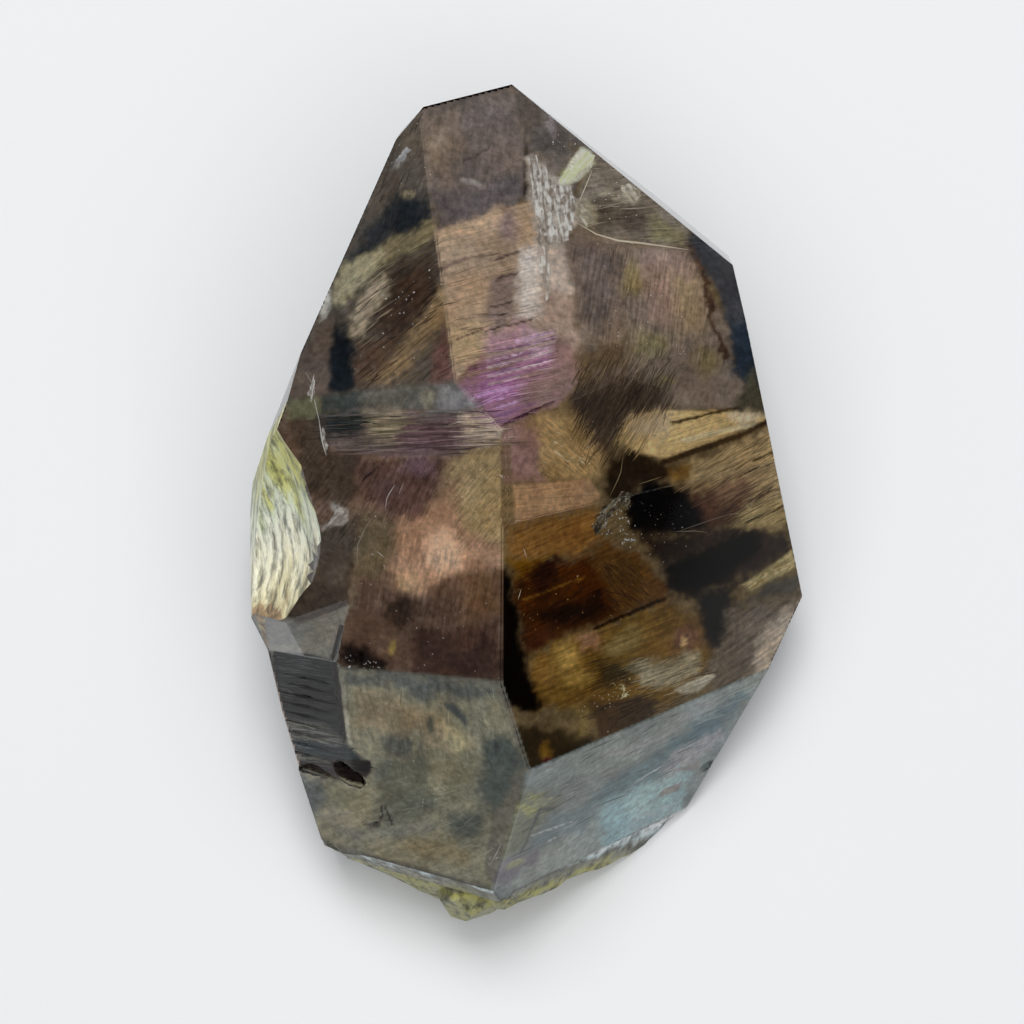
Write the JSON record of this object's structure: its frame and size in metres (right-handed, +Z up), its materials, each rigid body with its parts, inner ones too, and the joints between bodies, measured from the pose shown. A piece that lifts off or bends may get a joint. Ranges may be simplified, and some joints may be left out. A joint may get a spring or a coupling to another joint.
{
  "type": "amethyst crystal",
  "caption": "Loose single point of clear smoky violet-brown quartz, broken at the root, lying on its back with its pyramid faces up.",
  "frame": {"origin": "middle of the crystal's outline seen from above, on the surface that it lies on", "axes": "+Y along the crystal towards its tip, +X across it to the right seen from above with the tip up, +Z up from the surface that it lies on"},
  "size_m": [0.0418, 0.0624, 0.0325],
  "materials": {
    "smoky_amethyst": "clear smoky violet-brown quartz, glassy faces with fine growth lines"
  },
  "bodies": {
    "root": {"amethyst_crystal": "smoky_amethyst"}
  },
  "joints": []
}
